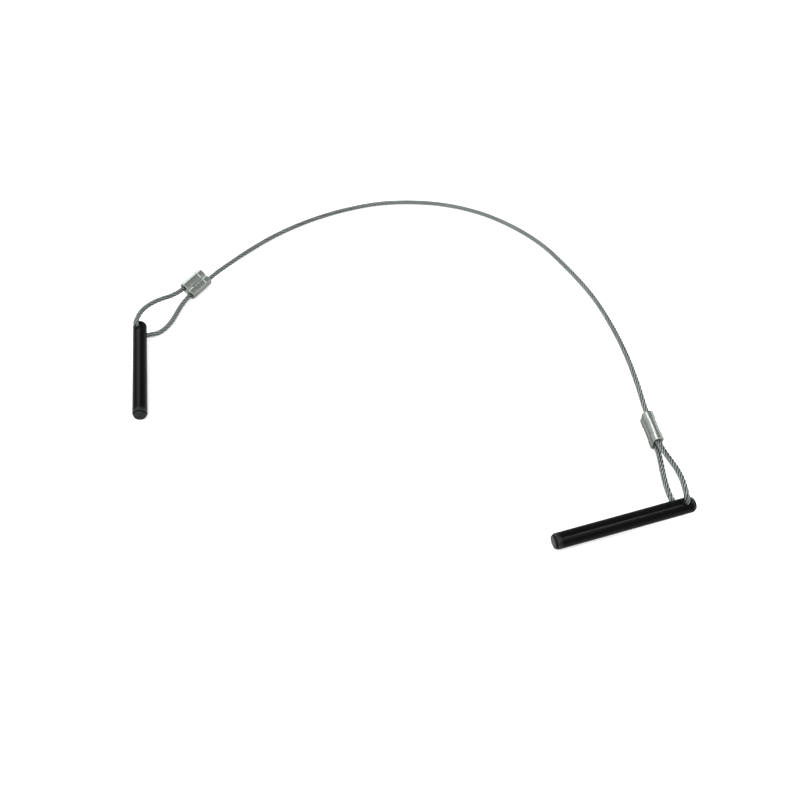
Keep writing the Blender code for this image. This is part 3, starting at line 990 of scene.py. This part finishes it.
class LANYARD_OT_stage(bpy.types.Operator):
    """Make the pale floor, the soft light and the camera"""

    bl_idname = "lanyard.stage"
    bl_label = "Build Stage"

    def execute(self, context):
        stage = context.scene.lanyard_stage
        half = 0.5 * stage.floor_size
        corners = half * np.array([(-1.0, -1.0, 0.0), (1.0, -1.0, 0.0), (1.0, 1.0, 0.0), (-1.0, 1.0, 0.0)])
        corners[:, 2] = -FLOOR_GAP
        make_piece("floor", corners, [np.arange(4)[None, :]], floor_finish(stage))
        camera_data = bpy.data.cameras.new("camera")
        camera_data.lens = stage.focal
        camera_data.sensor_width = SENSOR_WIDTH
        camera_data.clip_start = CLIP_START
        camera = bpy.data.objects.new("camera", camera_data)
        context.scene.collection.objects.link(camera)
        camera.location = CAMERA_PLACE
        aim = Vector(CAMERA_AIM) - camera.location
        camera.rotation_euler = aim.to_track_quat("-Z", "Y").to_euler()
        context.scene.camera = camera
        for light in LIGHTS:
            area_light(*light)
        world = bpy.data.worlds.new("soft studio")
        world.use_nodes = True
        background = world.node_tree.nodes["Background"]
        background.inputs["Color"].default_value = WHITE
        background.inputs["Strength"].default_value = stage.ambient
        context.scene.world = world
        context.scene.view_settings.view_transform = "Standard"
        return {"FINISHED"}


class LANYARD_OT_rope(bpy.types.Operator):
    """Make the stranded rope along its whole route"""

    bl_idname = "lanyard.rope"
    bl_label = "Build Rope"

    def execute(self, context):
        rope = context.scene.lanyard_rope
        line = rope_route(rope.spacing)
        core_places = np.append(np.arange(0, len(line) - 1, CORE_RING_STEP), len(line) - 1)
        helix, strand = strand_sizes(0.5 * rope.diameter, rope.lay, rope.strands)
        strands = strand_rings(line, rope)
        core = tube_rings(line[core_places], helix - strand, CORE_SIDES)
        tubes = [(rings, True, (0, len(rings) - 1)) for rings in (*strands, core)]
        points, groups = joined_grids(tubes)
        piece = make_piece("wire_rope", points, groups, rope_finish(rope))
        strand_places = np.tile(np.repeat(np.arange(len(line)), strands.shape[2]), rope.strands)
        places = np.append(strand_places, np.repeat(core_places, CORE_SIDES))
        out = np.linalg.norm(points - line[places], axis=1)
        # The crown is 0 on the inner side of a strand and 1 on the outside of the rope; it sets the painted
        # shade between the strands.
        store_values(piece, "crown", np.clip((out - helix + strand) / (2.0 * strand), 0.0, 1.0))
        length = float(distances_along(line)[-1])
        along = length * places / (len(line) - 1)
        number = np.arange(len(points)) // (len(line) * strands.shape[2])
        store_vectors(piece, "own_place", np.column_stack([along, out, STRAND_OFFSET * number]) / MM)
        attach(piece, "lanyard")
        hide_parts("lanyard_rope", "left_eye_loop", "right_eye_loop")
        return {"FINISHED"}


class LANYARD_OT_ferrules(bpy.types.Operator):
    """Make the two pressed double-barrel ferrules"""

    bl_idname = "lanyard.ferrules"
    bl_label = "Build Ferrules"

    def execute(self, context):
        sizes = context.scene.lanyard_ferrule
        material = ferrule_finish(sizes)
        points, groups = ferrule_surface(sizes)
        for side, placing in (("left", LEFT_FERRULE), ("right", RIGHT_FERRULE)):
            matrix = ferrule_matrix(placing)
            placed = carried(matrix, points)
            piece = make_piece(side + "_ferrule_body", placed, groups, material, weld=WELD)
            own = own_points(piece, matrix)
            store_vectors(piece, "own_place", own / MM)
            inner = 0.5 * sizes.length - sizes.collar
            gaps = np.abs(own[:, :1]) - np.array([[inner, 0.5 * sizes.length]])
            store_values(piece, "edge", np.exp(-((gaps / FERRULE_WEAR_REACH) ** 2)).max(axis=1))
            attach(piece, "lanyard")
            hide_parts(side + "_ferrule")
        return {"FINISHED"}


class LANYARD_OT_pins(bpy.types.Operator):
    """Make the two cross-drilled black pins"""

    bl_idname = "lanyard.pins"
    bl_label = "Build Pins"

    def execute(self, context):
        sizes = context.scene.lanyard_pin
        material = pin_finish(sizes)
        points, groups = pin_surface(sizes)
        for side in ("left", "right"):
            matrix = pin_matrix(side)
            placed = carried(matrix, points)
            piece = make_piece(side + "_pin_body", placed, groups, material, PIN_SHARP, weld=WELD)
            own = own_points(piece, matrix)
            store_vectors(piece, "own_place", own / MM)
            store_values(piece, "edge", pin_wear(own, sizes))
            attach(piece, side + "_pin")
            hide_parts(side + "_pin")
        return {"FINISHED"}


class LANYARD_PT_parts(bpy.types.Panel):
    """Lists the lanyard's pieces and their settings"""

    bl_idname = "LANYARD_PT_parts"
    bl_label = "Wire Rope Lanyard"
    bl_space_type = "VIEW_3D"
    bl_region_type = "UI"
    bl_category = "Lanyard"

    def draw(self, context):
        layout = self.layout
        for operator, group in PARTS:
            layout.operator(operator.bl_idname)
            settings = getattr(context.scene, group)
            column = layout.column(align=True)
            for name in settings.__annotations__:
                column.prop(settings, name)


PARTS = (
    (LANYARD_OT_stage, "lanyard_stage"),
    (LANYARD_OT_rope, "lanyard_rope"),
    (LANYARD_OT_ferrules, "lanyard_ferrule"),
    (LANYARD_OT_pins, "lanyard_pin"),
)
SETTINGS = (
    ("lanyard_stage", LanyardStageSettings),
    ("lanyard_rope", LanyardRopeSettings),
    ("lanyard_ferrule", LanyardFerruleSettings),
    ("lanyard_pin", LanyardPinSettings),
)


def register():
    """Add the settings, the operators and the panel."""
    for name, settings in SETTINGS:
        bpy.utils.register_class(settings)
        setattr(bpy.types.Scene, name, PointerProperty(type=settings))
    for operator, _ in PARTS:
        bpy.utils.register_class(operator)
    bpy.utils.register_class(LANYARD_PT_parts)


def unregister():
    """Take them away again."""
    bpy.utils.unregister_class(LANYARD_PT_parts)
    for operator, _ in reversed(PARTS):
        bpy.utils.unregister_class(operator)
    for name, settings in reversed(SETTINGS):
        delattr(bpy.types.Scene, name)
        bpy.utils.unregister_class(settings)


def main():
    """Build every piece in order."""
    register()
    bpy.ops.lanyard.stage()
    bpy.ops.lanyard.rope()
    bpy.ops.lanyard.ferrules()
    bpy.ops.lanyard.pins()


if __name__ == "__main__":
    main()
